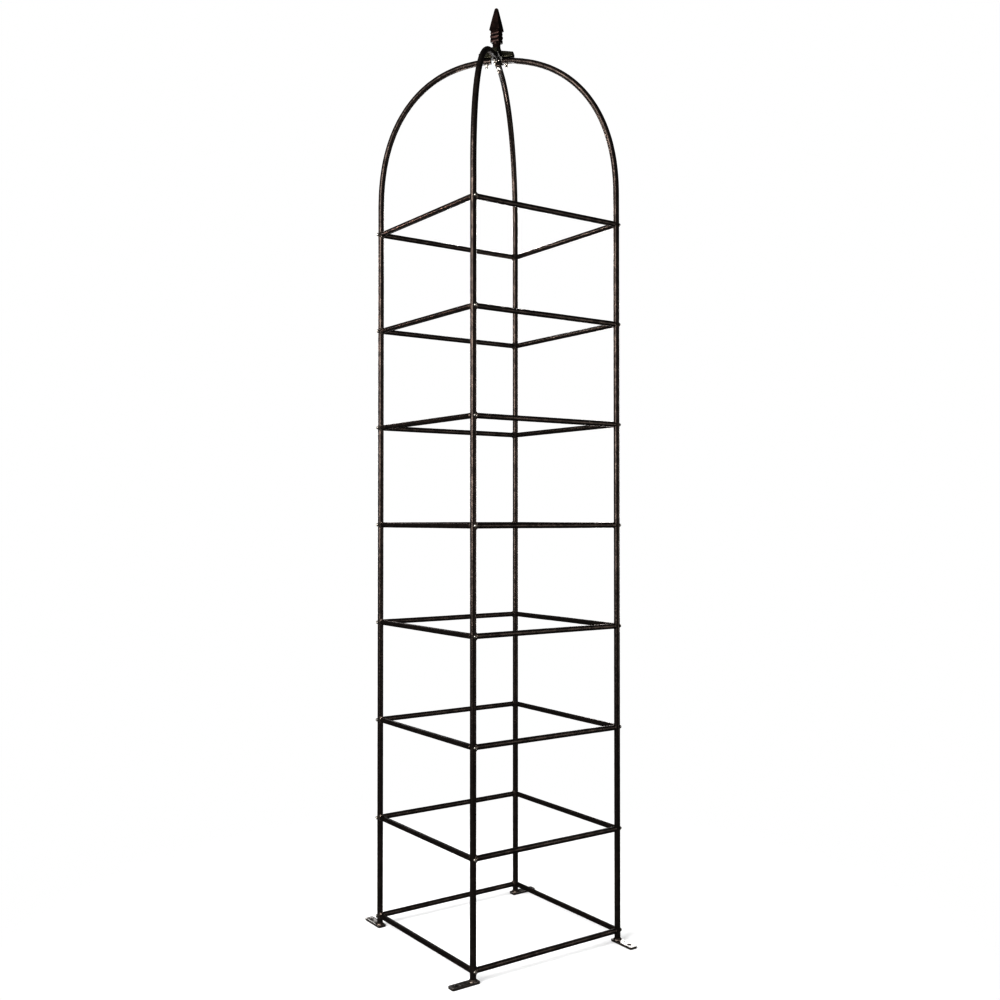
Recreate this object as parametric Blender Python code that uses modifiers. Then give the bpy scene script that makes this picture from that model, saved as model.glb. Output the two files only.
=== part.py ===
"""Garden obelisk: a tall open frame of round wrought-iron bars for climbing plants.

Four legs stand at the corners of a square and bend over to meet under a cross-shaped hub,
which carries a cast spear finial. Eight levels of four rungs tie the legs together. Going round
the square, each rung is welded to one leg and screwed through the next, so the frame comes
apart into four alike ladders. Every leg stands on a flat foot with a hole for a ground stake.

Units are metres, +Z is up, and the origin is on the floor at the middle of the square.
"""
import math

import bmesh
import bpy

# Driving dimensions
TOTAL_HEIGHT = 2.6162
LEG_SPACING = 0.4785
LEG_DIAMETER = 0.0159
RUNG_DIAMETER = 0.0143
RUNG_LEVELS = 8
FIRST_RUNG_HEIGHT = 0.0305
RUNG_PITCH = 0.279
GAP = 0.0003

# The bend at the top of each leg is a quarter of a superellipse; an exponent of 2 is an ellipse
BEND_START_HEIGHT = 2.056
CROWN_HEIGHT = 2.465
BEND_EXPONENT = 2.3
BEND_STEPS = 24
BAR_END_REACH = 0.016
SEAT_DEPTH = 0.001
SEAT_REACH = 0.056

# Feet
FOOT_THICKNESS = 0.006
FOOT_WIDTH = 0.025
FOOT_OUTER_REACH = 0.068
FOOT_INNER_REACH = 0.015
FOOT_CORNER_RADIUS = 0.005
STAKE_HOLE_RADIUS = 0.005
STAKE_HOLE_REACH = 0.048

# Screws that hold the rungs, each driven through a leg into the end of its rung
SCREW_RADIUS = 0.0025
SCREW_HOLE_RADIUS = 0.0029
SCREW_HEAD_RADIUS = 0.0047
SCREW_HEAD_EDGE = 0.0016
SCREW_HEAD_HEIGHT = 0.0055

# Hub: a cast cross, thinner towards the tips of its arms, with its studs and nuts
HUB_ARM_REACH = 0.050
HUB_ARM_WIDTH = 0.0254
HUB_THICKNESS = 0.0175
HUB_TIP_THICKNESS = 0.0125
HUB_FLAT_REACH = 0.0160
HUB_CORNER_RADIUS = 0.002
STUD_REACH = 0.0286
STUD_RADIUS = 0.003
STUD_DEPTH = 0.010
STUD_LENGTH = 0.0374
STUD_HOLE_RADIUS = 0.0035
NUT_HEIGHT = 0.0052
NUT_ACROSS_FLATS = 0.010

# Finial, with the bolt that holds it down from below
NECK_RADIUS = 0.0110
NECK_BASE_RADIUS = 0.0155
NECK_BASE_EDGE = 0.001
NECK_FLARE_HEIGHT = 0.0135
COLLAR_BASE_HEIGHT = 2.5164
COLLAR_CORNER_RADIUS = 0.0182
BEAD_CORNER_RADIUS = 0.0189
GROOVE_CORNER_RADIUS = 0.0168
SPEAR_CORNER_RADIUS = 0.0216
SPEAR_TIP_CORNER_RADIUS = 0.0055
SPEAR_HEIGHT = 0.0645
FINIAL_TURN = math.radians(-18)
FINIAL_BOLT_RADIUS = 0.004
FINIAL_BOLT_DEPTH = 0.020
FINIAL_BOLT_ACROSS_FLATS = 0.013
FINIAL_BOLT_HEAD_HEIGHT = 0.0053

# Mesh detail
ROUND_SIDES = 12
SMALL_SIDES = 10
CORNER_STEPS = 3
MERGE_DISTANCE = 0.00002
SMOOTH_ANGLE = math.radians(35)

# Derived dimensions
LEG_RADIUS = LEG_DIAMETER / 2
RUNG_RADIUS = RUNG_DIAMETER / 2
HALF_SPACING = LEG_SPACING / 2
CORNER_REACH = LEG_SPACING / math.sqrt(2)
SEAT_TOP = CROWN_HEIGHT + LEG_RADIUS - SEAT_DEPTH
SEAT_BOTTOM = CROWN_HEIGHT - LEG_RADIUS + SEAT_DEPTH
HUB_BOTTOM = SEAT_TOP + GAP
HUB_TOP = HUB_BOTTOM + HUB_THICKNESS
FINIAL_BOTTOM = HUB_TOP + GAP
NECK_HEIGHT = COLLAR_BASE_HEIGHT - FINIAL_BOTTOM
CORNER_NAMES = ("front_left", "front_right", "back_right", "back_left")
SIDE_NAMES = ("front", "right", "back", "left")

# Colour, roughness and metallic value of each finish
FINISHES = {
    "leg_iron": ((0.050, 0.040, 0.034), 0.42, 0.75),
    "rung_iron": ((0.046, 0.037, 0.031), 0.45, 0.75),
    "foot_iron": ((0.040, 0.033, 0.029), 0.50, 0.70),
    "hub_iron": ((0.038, 0.034, 0.028), 0.50, 0.70),
    "finial_iron": ((0.042, 0.028, 0.023), 0.40, 0.75),
    "fastener_steel": ((0.075, 0.068, 0.062), 0.38, 0.85),
}


def clear_scene():
    for old in list(bpy.data.objects):
        bpy.data.objects.remove(old, do_unlink=True)


def make_collection(name):
    collection = bpy.data.collections.new(name)
    bpy.context.scene.collection.children.link(collection)
    return collection


def make_finish(name):
    colour, roughness, metallic = FINISHES[name]
    finish = bpy.data.materials.new(name)
    finish.use_nodes = True
    shader = finish.node_tree.nodes["Principled BSDF"]
    shader.inputs["Base Color"].default_value = (*colour, 1.0)
    shader.inputs["Roughness"].default_value = roughness
    shader.inputs["Metallic"].default_value = metallic
    return finish


def link_object(name, data, collection):
    piece = bpy.data.objects.new(name, data)
    collection.objects.link(piece)
    return piece


def make_cutter(name, data):
    """A shape that only cuts or joins other pieces."""
    cutter = link_object(name, data, cutters)
    cutter.hide_render = True
    cutter.display_type = "WIRE"
    return cutter


def add_boolean(piece, cutter, operation):
    step = piece.modifiers.new(cutter.name, "BOOLEAN")
    step.operation = operation
    step.solver = "EXACT"
    step.object = cutter


def turned_profile(name, profile):
    """The outline of a turned shape: (radius, height) points down its outer side."""
    mesh = bpy.data.meshes.new(name)
    points = [(radius, 0.0, height) for radius, height in profile]
    edges = [(index, index + 1) for index in range(len(points) - 1)]
    mesh.from_pydata(points, edges, [])
    return mesh


def add_turn(piece, sides):
    turn = piece.modifiers.new("turn", "SCREW")
    turn.steps = sides
    turn.render_steps = sides
    turn.use_merge_vertices = True
    turn.merge_threshold = MERGE_DISTANCE


def flat_plate(name, outlines, thickness):
    """A plate cut from sheet: closed outlines, of which the inner ones are holes."""
    curve = bpy.data.curves.new(name, "CURVE")
    curve.dimensions = "2D"
    curve.fill_mode = "BOTH"
    curve.extrude = thickness / 2
    for outline in outlines:
        spline = curve.splines.new("POLY")
        spline.points.add(len(outline) - 1)
        for point, (x, y) in zip(spline.points, outline):
            point.co = (x, y, 0.0, 1.0)
        spline.use_cyclic_u = True
    return curve


def arc(centre, radius, start, end, steps):
    x, y = centre
    angles = [start + (end - start) * step / steps for step in range(steps + 1)]
    return [(x + radius * math.cos(angle), y + radius * math.sin(angle)) for angle in angles]


def circle(centre, radius, sides):
    return arc(centre, radius, 0.0, math.tau, sides)[:-1]


def rounded_rectangle(x_min, x_max, y_min, y_max, radius):
    corners = ((x_max - radius, y_max - radius), (x_min + radius, y_max - radius),
               (x_min + radius, y_min + radius), (x_max - radius, y_min + radius))
    outline = []
    for quarter, corner in enumerate(corners):
        start = quarter * math.pi / 2
        outline += arc(corner, radius, start, start + math.pi / 2, CORNER_STEPS)
    return outline


def solid_mesh(piece):
    """The finished mesh of a piece, with its modifiers applied and loose caps welded on."""
    graph = bpy.context.evaluated_depsgraph_get()
    mesh = bpy.data.meshes.new_from_object(piece.evaluated_get(graph))
    shape = bmesh.new()
    shape.from_mesh(mesh)
    bmesh.ops.remove_doubles(shape, verts=shape.verts, dist=MERGE_DISTANCE)
    shape.to_mesh(mesh)
    shape.free()
    mesh.shade_smooth()
    mesh.set_sharp_from_angle(angle=SMOOTH_ANGLE)
    return mesh


def settle(piece):
    """Replace a modelled piece by its plain mesh and give that mesh back."""
    mesh = solid_mesh(piece)
    bpy.data.objects.remove(piece)
    return mesh


def rod_mesh(name, radius, length, sides):
    """A straight rod along Z, with its middle at the origin."""
    mesh = bpy.data.meshes.new(name)
    shape = bmesh.new()
    bmesh.ops.create_cone(shape, cap_ends=True, segments=sides, radius1=radius,
                          radius2=radius, depth=length)
    shape.to_mesh(mesh)
    shape.free()
    return mesh


def rod(name, radius, length, sides, centre=(0.0, 0.0, 0.0), axis="Z"):
    """A cutter in the shape of a straight rod along an axis."""
    cutter = make_cutter(name, rod_mesh(name, radius, length, sides))
    cutter.location = centre
    if axis == "Y":
        cutter.rotation_euler.x = math.pi / 2
    return cutter


def leg_path():
    """The leg's axis from the foot to the hub, as (reach from the middle, height)."""
    path = [(CORNER_REACH, FOOT_THICKNESS + GAP)]
    power = 2 / BEND_EXPONENT
    rise = CROWN_HEIGHT - BEND_START_HEIGHT
    last_angle = math.acos((BAR_END_REACH / CORNER_REACH) ** (1 / power))
    for step in range(BEND_STEPS + 1):
        angle = last_angle * step / BEND_STEPS
        reach = CORNER_REACH * math.cos(angle) ** power
        path.append((reach, BEND_START_HEIGHT + rise * math.sin(angle) ** power))
    return path


def bent_bar():
    """The round bar of one leg, in the upright plane through the front left corner."""
    curve = bpy.data.curves.new("bent_bar", "CURVE")
    curve.dimensions = "3D"
    curve.bevel_depth = LEG_RADIUS
    curve.bevel_resolution = 4
    curve.use_fill_caps = True
    path = leg_path()
    spline = curve.splines.new("POLY")
    spline.points.add(len(path) - 1)
    for point, (reach, height) in zip(spline.points, path):
        point.co = (-reach / math.sqrt(2), -reach / math.sqrt(2), height, 1.0)
    return curve


def rung_heights():
    return [FIRST_RUNG_HEIGHT + RUNG_PITCH * level for level in range(RUNG_LEVELS)]


def hub_seat(name, low, high):
    """A block that files a flat on the end of the front left bar."""
    mesh = bpy.data.meshes.new(name)
    shape = bmesh.new()
    bmesh.ops.create_cube(shape, size=1.0)
    bmesh.ops.scale(shape, vec=(2 * SEAT_REACH, LEG_DIAMETER * 2, high - low), verts=shape.verts)
    shape.to_mesh(mesh)
    shape.free()
    block = make_cutter(name, mesh)
    block.location.z = (low + high) / 2
    block.rotation_euler.z = math.pi / 4
    return block


def leg_mesh():
    """One leg, bent, drilled for its eight rung screws and for its stud."""
    rough = link_object("rough_leg", bent_bar(), parts)
    leg = link_object("drilled_leg", settle(rough), parts)
    for level, height in enumerate(rung_heights(), start=1):
        corner = (-HALF_SPACING, -HALF_SPACING, height)
        hole = rod(f"screw_hole_{level}", SCREW_HOLE_RADIUS, 2 * LEG_DIAMETER, SMALL_SIDES,
                   corner, "Y")
        add_boolean(leg, hole, "DIFFERENCE")
    add_boolean(leg, hub_seat("upper_seat", SEAT_TOP, SEAT_TOP + LEG_RADIUS), "DIFFERENCE")
    add_boolean(leg, hub_seat("lower_seat", SEAT_BOTTOM - LEG_RADIUS, SEAT_BOTTOM), "DIFFERENCE")
    offset = -STUD_REACH / math.sqrt(2)
    stud_hole = rod("stud_hole", STUD_HOLE_RADIUS, 2 * LEG_DIAMETER, SMALL_SIDES,
                    (offset, offset, CROWN_HEIGHT))
    add_boolean(leg, stud_hole, "DIFFERENCE")
    return settle(leg)


def rung_mesh():
    """One rung with the screw in its end, turned about its own axis, screw head uppermost."""
    length = LEG_SPACING - LEG_DIAMETER - 2 * GAP
    head_base = length + 2 * GAP + LEG_DIAMETER
    profile = [(0.0, head_base + SCREW_HEAD_HEIGHT)]
    dome_rise = SCREW_HEAD_HEIGHT - SCREW_HEAD_EDGE
    for step in range(1, CORNER_STEPS + 1):
        angle = math.pi / 2 * (1 - step / CORNER_STEPS)
        profile.append((SCREW_HEAD_RADIUS * math.cos(angle),
                        head_base + SCREW_HEAD_EDGE + dome_rise * math.sin(angle)))
    profile += [
        (SCREW_HEAD_RADIUS, head_base),
        (SCREW_RADIUS, head_base),
        (SCREW_RADIUS, length),
        (RUNG_RADIUS, length),
        (RUNG_RADIUS, 0.0),
        (0.0, 0.0),
    ]
    rung = link_object("turned_rung", turned_profile("turned_rung", profile), parts)
    add_turn(rung, ROUND_SIDES)
    return settle(rung)


def foot_mesh():
    """The flat foot under one leg, pointing outward along -X, with its stake hole."""
    outlines = [
        rounded_rectangle(-FOOT_OUTER_REACH, FOOT_INNER_REACH, -FOOT_WIDTH / 2, FOOT_WIDTH / 2,
                          FOOT_CORNER_RADIUS),
        circle((-STAKE_HOLE_REACH, 0.0), STAKE_HOLE_RADIUS, ROUND_SIDES),
    ]
    return settle(link_object("flat_foot", flat_plate("flat_foot", outlines, FOOT_THICKNESS), parts))


def crossbar():
    """One of the hub's two crossing bars, along X, with the corners of its ends rounded."""
    outline = rounded_rectangle(-HUB_ARM_REACH, HUB_ARM_REACH, -HUB_ARM_WIDTH / 2,
                                HUB_ARM_WIDTH / 2, HUB_CORNER_RADIUS)
    return settle(link_object("crossbar", flat_plate("crossbar", [outline], HUB_THICKNESS), parts))


def box_cutter(name, low, high):
    """A box between two corners, as a cutter that can still be turned about the origin."""
    mesh = bpy.data.meshes.new(name)
    shape = bmesh.new()
    bmesh.ops.create_cube(shape, size=1.0)
    size = [top - bottom for bottom, top in zip(low, high)]
    middle = [(top + bottom) / 2 for bottom, top in zip(low, high)]
    bmesh.ops.scale(shape, vec=size, verts=shape.verts)
    bmesh.ops.translate(shape, vec=middle, verts=shape.verts)
    shape.to_mesh(mesh)
    shape.free()
    return make_cutter(name, mesh)


def slope_cutter(quarter):
    """Takes off the top of one arm, from the flat middle down to its thin tip."""
    run = HUB_ARM_REACH - HUB_FLAT_REACH
    cutter = box_cutter(f"hub_slope_{quarter}", (-run, -HUB_ARM_WIDTH, 0.0),
                        (2 * run, HUB_ARM_WIDTH, HUB_THICKNESS))
    turn = quarter * math.pi / 2
    cutter.rotation_euler = (0.0, math.atan((HUB_THICKNESS - HUB_TIP_THICKNESS) / run), turn)
    cutter.location = (HUB_FLAT_REACH * math.cos(turn), HUB_FLAT_REACH * math.sin(turn),
                       HUB_THICKNESS / 2)
    return cutter


def hub_mesh():
    """The cross that ties the four bar ends together, drilled from below for its studs."""
    hub = link_object("crossed_bars", crossbar(), parts)
    other_bar = make_cutter("other_bar", crossbar())
    other_bar.rotation_euler.z = math.pi / 2
    add_boolean(hub, other_bar, "UNION")
    bore = rod("hub_bore", FINIAL_BOLT_RADIUS + GAP, 2 * HUB_THICKNESS, ROUND_SIDES)
    add_boolean(hub, bore, "DIFFERENCE")
    for quarter in range(4):
        add_boolean(hub, slope_cutter(quarter), "DIFFERENCE")
        turn = quarter * math.pi / 2
        centre = (STUD_REACH * math.cos(turn), STUD_REACH * math.sin(turn), -HUB_THICKNESS / 2)
        socket = rod(f"stud_socket_{quarter}", STUD_HOLE_RADIUS, 2 * (STUD_DEPTH + GAP),
                     SMALL_SIDES, centre)
        add_boolean(hub, socket, "DIFFERENCE")
    return settle(hub)


def hexagon(across_flats):
    return circle((0.0, 0.0), across_flats / math.sqrt(3), 6)


def nut_mesh():
    outlines = [hexagon(NUT_ACROSS_FLATS),
                circle((0.0, 0.0), STUD_RADIUS + GAP, SMALL_SIDES)]
    return settle(link_object("plain_nut", flat_plate("plain_nut", outlines, NUT_HEIGHT), parts))


def bolt_mesh(name, across_flats, head_height, radius, length):
    """A hexagon bolt pointing down, with its head standing on the origin's plane."""
    head = link_object(name, flat_plate(name, [hexagon(across_flats)], head_height), parts)
    body = link_object(name, settle(head), parts)
    body.location.z = head_height / 2
    shank = rod(f"{name}_shank", radius, length + head_height / 2, SMALL_SIDES,
                (0.0, 0.0, (head_height / 2 - length) / 2))
    add_boolean(body, shank, "UNION")
    bpy.context.view_layer.update()
    mesh = solid_mesh(body)
    mesh.transform(body.matrix_world)
    bpy.data.objects.remove(body)
    return mesh


def finial_profile():
    """Corner radii of the square part of the finial, from the tip of the spear down."""
    spear_base = TOTAL_HEIGHT - SPEAR_HEIGHT
    collar_height = spear_base - COLLAR_BASE_HEIGHT
    blunt = SPEAR_TIP_CORNER_RADIUS / 2
    return [
        (0.0, TOTAL_HEIGHT),
        (blunt, TOTAL_HEIGHT),
        (SPEAR_TIP_CORNER_RADIUS, TOTAL_HEIGHT - blunt),
        (SPEAR_CORNER_RADIUS * 0.62, spear_base + SPEAR_HEIGHT * 0.45),
        (SPEAR_CORNER_RADIUS, spear_base + 0.0015),
        (SPEAR_CORNER_RADIUS, spear_base),
        (GROOVE_CORNER_RADIUS, spear_base - 0.0015),
        (COLLAR_CORNER_RADIUS, spear_base - collar_height * 0.28),
        (GROOVE_CORNER_RADIUS, spear_base - collar_height * 0.36),
        (BEAD_CORNER_RADIUS, spear_base - collar_height * 0.44),
        (BEAD_CORNER_RADIUS, spear_base - collar_height * 0.60),
        (GROOVE_CORNER_RADIUS, spear_base - collar_height * 0.68),
        (COLLAR_CORNER_RADIUS, spear_base - collar_height * 0.76),
        (COLLAR_CORNER_RADIUS, COLLAR_BASE_HEIGHT),
        (0.0, COLLAR_BASE_HEIGHT),
    ]


def finial_mesh():
    """The cast finial: a square spear and collar on a round flared neck, drilled from below."""
    casting = link_object("cast_finial", turned_profile("cast_finial", finial_profile()), parts)
    add_turn(casting, 4)
    overlap = (NECK_HEIGHT - FINIAL_BOLT_DEPTH) / 4
    neck_profile = [
        (0.0, COLLAR_BASE_HEIGHT + overlap),
        (NECK_RADIUS, COLLAR_BASE_HEIGHT + overlap),
        (NECK_RADIUS, FINIAL_BOTTOM + NECK_FLARE_HEIGHT),
        (NECK_BASE_RADIUS, FINIAL_BOTTOM + NECK_BASE_EDGE),
        (NECK_BASE_RADIUS, FINIAL_BOTTOM),
        (0.0, FINIAL_BOTTOM),
    ]
    neck = make_cutter("finial_neck", turned_profile("finial_neck", neck_profile))
    add_turn(neck, ROUND_SIDES)
    add_boolean(casting, neck, "UNION")
    bore_depth = FINIAL_BOLT_DEPTH + 2 * GAP
    bore = rod("finial_bore", FINIAL_BOLT_RADIUS + GAP, 2 * bore_depth, ROUND_SIDES,
               (0.0, 0.0, FINIAL_BOTTOM))
    add_boolean(casting, bore, "DIFFERENCE")
    return settle(casting)


def place(name, mesh, finish, parent=None, location=(0.0, 0.0, 0.0), rotation=(0.0, 0.0, 0.0)):
    """One finished piece of the obelisk; copies of a repeated piece share their mesh."""
    if not mesh.materials:
        mesh.materials.append(finishes[finish])
    piece = link_object(name, mesh, parts)
    piece.parent = parent
    piece.location = location
    piece.rotation_euler = rotation
    return piece


def build_ladders():
    """The four alike quarters of the frame: a leg, its foot and the eight rungs welded to it."""
    leg, foot, rung = leg_mesh(), foot_mesh(), rung_mesh()
    rung_start = -HALF_SPACING + LEG_RADIUS + GAP
    for quarter, (corner, side) in enumerate(zip(CORNER_NAMES, SIDE_NAMES)):
        turn = link_object(f"quarter_{side}", None, parts)
        turn.rotation_euler.z = quarter * math.pi / 2
        place(f"leg_{corner}", leg, "leg_iron", turn)
        place(f"foot_{corner}", foot, "foot_iron", turn,
              (-HALF_SPACING, -HALF_SPACING, FOOT_THICKNESS / 2))
        for level, height in enumerate(rung_heights(), start=1):
            place(f"rung_{side}_{level}", rung, "rung_iron", turn,
                  (rung_start, -HALF_SPACING, height), (0.0, math.pi / 2, 0.0))


def build_hub():
    """The cross on top of the bar ends, with its four studs and nuts."""
    place("hub_cross", hub_mesh(), "hub_iron", None,
          (0.0, 0.0, HUB_BOTTOM + HUB_THICKNESS / 2), (0.0, 0.0, math.pi / 4))
    stud = rod_mesh("stud", STUD_RADIUS, STUD_LENGTH, SMALL_SIDES)
    nut = nut_mesh()
    offset = -STUD_REACH / math.sqrt(2)
    for quarter, corner in enumerate(CORNER_NAMES):
        turn = link_object(f"hub_quarter_{corner}", None, parts)
        turn.rotation_euler.z = quarter * math.pi / 2
        place(f"hub_stud_{corner}", stud, "fastener_steel", turn,
              (offset, offset, HUB_BOTTOM + STUD_DEPTH - STUD_LENGTH / 2))
        place(f"hub_nut_{corner}", nut, "fastener_steel", turn,
              (offset, offset, SEAT_BOTTOM - GAP - NUT_HEIGHT / 2))


def build_finial():
    """The spear finial, and the bolt that comes up through the cross to hold it."""
    place("finial_spear", finial_mesh(), "finial_iron", None,
          rotation=(0.0, 0.0, FINIAL_TURN))
    length = GAP + HUB_THICKNESS + GAP + FINIAL_BOLT_DEPTH
    bolt = bolt_mesh("bolt_shape", FINIAL_BOLT_ACROSS_FLATS, FINIAL_BOLT_HEAD_HEIGHT,
                     FINIAL_BOLT_RADIUS, length)
    place("finial_bolt", bolt, "fastener_steel", None,
          (0.0, 0.0, HUB_BOTTOM - GAP), (math.pi, 0.0, 0.0))


clear_scene()
parts = make_collection("garden_obelisk")
cutters = make_collection("cutters")
finishes = {name: make_finish(name) for name in FINISHES}
build_ladders()
build_hub()
build_finial()
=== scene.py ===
import math

import bmesh
import bpy
import numpy as np
from mathutils import Matrix, Vector, noise


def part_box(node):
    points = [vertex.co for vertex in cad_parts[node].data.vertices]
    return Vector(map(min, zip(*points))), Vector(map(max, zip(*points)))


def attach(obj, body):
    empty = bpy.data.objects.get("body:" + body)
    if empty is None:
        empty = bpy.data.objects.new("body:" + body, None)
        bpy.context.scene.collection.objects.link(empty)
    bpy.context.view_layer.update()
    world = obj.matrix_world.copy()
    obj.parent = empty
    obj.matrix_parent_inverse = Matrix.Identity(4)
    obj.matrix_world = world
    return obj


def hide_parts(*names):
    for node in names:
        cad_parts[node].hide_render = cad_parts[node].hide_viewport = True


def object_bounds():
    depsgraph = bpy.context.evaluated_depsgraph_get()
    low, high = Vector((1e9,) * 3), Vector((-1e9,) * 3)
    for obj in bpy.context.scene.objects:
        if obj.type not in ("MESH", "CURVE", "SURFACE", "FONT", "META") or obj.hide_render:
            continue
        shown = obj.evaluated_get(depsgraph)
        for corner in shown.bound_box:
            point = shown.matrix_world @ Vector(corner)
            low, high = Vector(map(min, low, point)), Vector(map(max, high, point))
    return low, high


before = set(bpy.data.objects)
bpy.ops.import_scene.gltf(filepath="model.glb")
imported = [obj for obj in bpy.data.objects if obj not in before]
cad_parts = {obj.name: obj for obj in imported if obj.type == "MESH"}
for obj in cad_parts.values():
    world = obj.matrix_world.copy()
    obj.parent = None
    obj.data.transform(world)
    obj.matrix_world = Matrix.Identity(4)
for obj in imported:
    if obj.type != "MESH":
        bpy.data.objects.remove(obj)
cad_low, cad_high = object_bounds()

CORNERS = ("front_left", "front_right", "back_right", "back_left")
SIDES = ("front", "right", "back", "left")
LEVELS = 8

# Places and sizes read from the CAD frame
foot_low, foot_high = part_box("foot_front_left")
rung_low, rung_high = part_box("rung_front_1")
hub_low, hub_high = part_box("hub_cross")
finial_low, finial_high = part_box("finial_spear")
stud_low, stud_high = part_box("hub_stud_front_left")
nut_low, nut_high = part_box("hub_nut_front_left")
finial_bolt_low, finial_bolt_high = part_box("finial_bolt")

HALF_SPACING = -(rung_low.y + rung_high.y) / 2
CORNER_REACH = HALF_SPACING * math.sqrt(2)
RUNG_RADIUS = (rung_high.z - rung_low.z) / 2
FOOT_TOP = foot_high.z
HUB_BOTTOM, HUB_TOP = hub_low.z, hub_high.z
STUD_REACH = -(stud_low.x + stud_high.x) / math.sqrt(2)

# Clearance between separate sub-parts, as in the CAD frame
GAP = 0.0003

# Bars
LEG_RADIUS = 0.00795
SCREW_HEAD_HEIGHT = 0.0055
RUNG_START = rung_low.x
RUNG_END = rung_high.x - SCREW_HEAD_HEIGHT - 2 * LEG_RADIUS - 2 * GAP
BEND_START_HEIGHT = 2.056
CROWN_HEIGHT = 2.465
BEND_EXPONENT = 2.3
BEND_STEPS = 600
BAR_END_REACH = 0.016
SEAT_TOP = HUB_BOTTOM - GAP
SEAT_BOTTOM = 2 * CROWN_HEIGHT - SEAT_TOP
SEAT_RUN_OUT = 0.062
SEAT_FULL = 0.040
SEAT_SPREAD = 0.05
RING_SPACING = 0.005
LEG_SIDES = 24
RUNG_SIDES = 20
END_CHAMFER = 0.0006

# Hand-forged unevenness: how far the surface strays, and over what length
HAMMER_DEPTH = 0.00016
HAMMER_LENGTH = 0.016
BOW_DEPTH = 0.0004
BOW_LENGTH = 0.22
BOW_SEED = 50
NOISE_STRIDE = (3.17, 5.39, 7.71)

# Weld beads
WELD_ON_RUNG = 0.0042
WELD_ON_LEG = 0.0034
FOOT_WELD_HEIGHT = 0.0048
FOOT_WELD_REACH = 0.0040
WELD_SINK = 0.00018
WELD_ROOT_DEPTH = 6 * WELD_SINK
WELD_ROOT_INSET = 4 * WELD_SINK
WELD_FULLNESS = 0.28
WELD_CURVE_SHARES = (0.15, 0.32, 0.5, 0.68, 0.85)
WELD_STEPS = 120
WELD_RIPPLES = 22
WELD_RIPPLE_DEPTH = 0.00022
WELD_EDGE_RIPPLE = 0.05
WELD_WANDER = 0.16
WELD_WANDER_LENGTH = 0.7
WELD_SEED_STEP = 31
WELD_FAR_TOE_SEED = 20
FOOT_WELD_SEED = 100
WELD_HEAT = 0.8
HEAT_LENGTH = 0.013

# Fasteners
SCREW_RADIUS = 0.0025
SCREW_HEAD_RADIUS = 0.0047
SCREW_HEAD_EDGE = 0.0012
SCREW_HEAD_BREAK = 0.0003
SCREW_DOME_STEPS = 8
SCREW_SOCKET = 0.0015
SCREW_SOCKET_BREAK = 0.0002
SCREW_SOCKET_DEPTH = 0.0022
SCREW_FLAT_TO_SOCKET = 1.5
SCREW_DEPTH = 0.006
SCREW_SPIN = 7.0
STUD_RADIUS = 0.003
NUT_ACROSS_FLATS = 0.010
NUT_BORE_BREAK = 0.0003
NUT_TURN = 17
NUT_TURN_STEP = 41
THREAD_PITCH = 0.001
THREAD_DEPTH = 0.00045
THREAD_STEPS = 6
THREAD_START = 1 / 3
FINIAL_BOLT_RADIUS = 0.004
FINIAL_BOLT_ACROSS_FLATS = 0.013
FINIAL_BOLT_HEAD_HEIGHT = 0.0053
FINIAL_BOLT_THREAD_SHARE = 0.6
HEX_SIDES = 48
HEX_FACE_SHARE = 0.95
HEX_MIDDLE_SHARE = 0.5
HEX_BREAK = 0.0002
HEX_CHAMFER_SLOPE = math.radians(30)

# Feet
FOOT_EDGE = 0.0009
FOOT_EDGE_STEPS = 3
FOOT_CORNER_RADIUS = 0.005
ARC_STEPS = 10
MERGE_DISTANCE = 0.00001
STAKE_HOLE_RADIUS = 0.005
STAKE_HOLE_REACH = 0.048
STAKE_HOLE_STEPS = 40

# Hub: a cast cross, thinner towards the tips of its arms
HUB_ARM_REACH = 0.050
HUB_ARM_WIDTH = 0.0254
HUB_TIP_THICKNESS = 0.0125
HUB_FLAT_REACH = 0.0160
HUB_CORNER_RADIUS = 0.0025
HUB_CORNER_POINTS = 5
HUB_BAR_TURNS = (45, 135)
CAST_GRID = 0.0011
CAST_SMOOTHING = 4
CAST_DEPTH = 0.00025
CAST_LENGTH = 0.006
CAST_SINK = 0.5
CAST_SEED = 7

# Finial
NECK_RADIUS = 0.0110
NECK_BASE_RADIUS = 0.0155
NECK_EDGE = 0.0008
NECK_EDGE_HEIGHT = 0.0006
NECK_FLARE_HEIGHT = 0.0135
NECK_FLARE_SHARES = (0.12, 0.3, 0.5, 0.7, 0.85, 1.0)
NECK_FLARE_POWER = 1.25
COLLAR_BASE_HEIGHT = 2.5164
COLLAR_EDGE = 0.0007
COLLAR_REACH = 0.0182
BEAD_REACH = 0.0189
GROOVE_REACH = 0.0168
LIP_REACH = (COLLAR_REACH + GROOVE_REACH) / 2
SHOULDER_REACH = (BEAD_REACH + GROOVE_REACH) / 2
SPEAR_REACH = 0.0216
SPEAR_TIP_REACH = 0.0055
SPEAR_HEIGHT = 0.0645
SPEAR_EDGE = 0.0008
SPEAR_SIDE_START = 0.0015
SPEAR_SIDE_MARGIN = 0.0045
SPEAR_FULLNESS = 0.0004
SPEAR_STEPS = 14
FINIAL_TURN = math.radians(-18)
FINIAL_SIDES = 64
CAST_SQUARENESS = 12.0

# The neck where it spreads below the collar: (how much wider, how far below)
NECK_FILLET = ((0.0, 0.002), (0.0006, 0.0006), (0.0016, 0.0))
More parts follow.
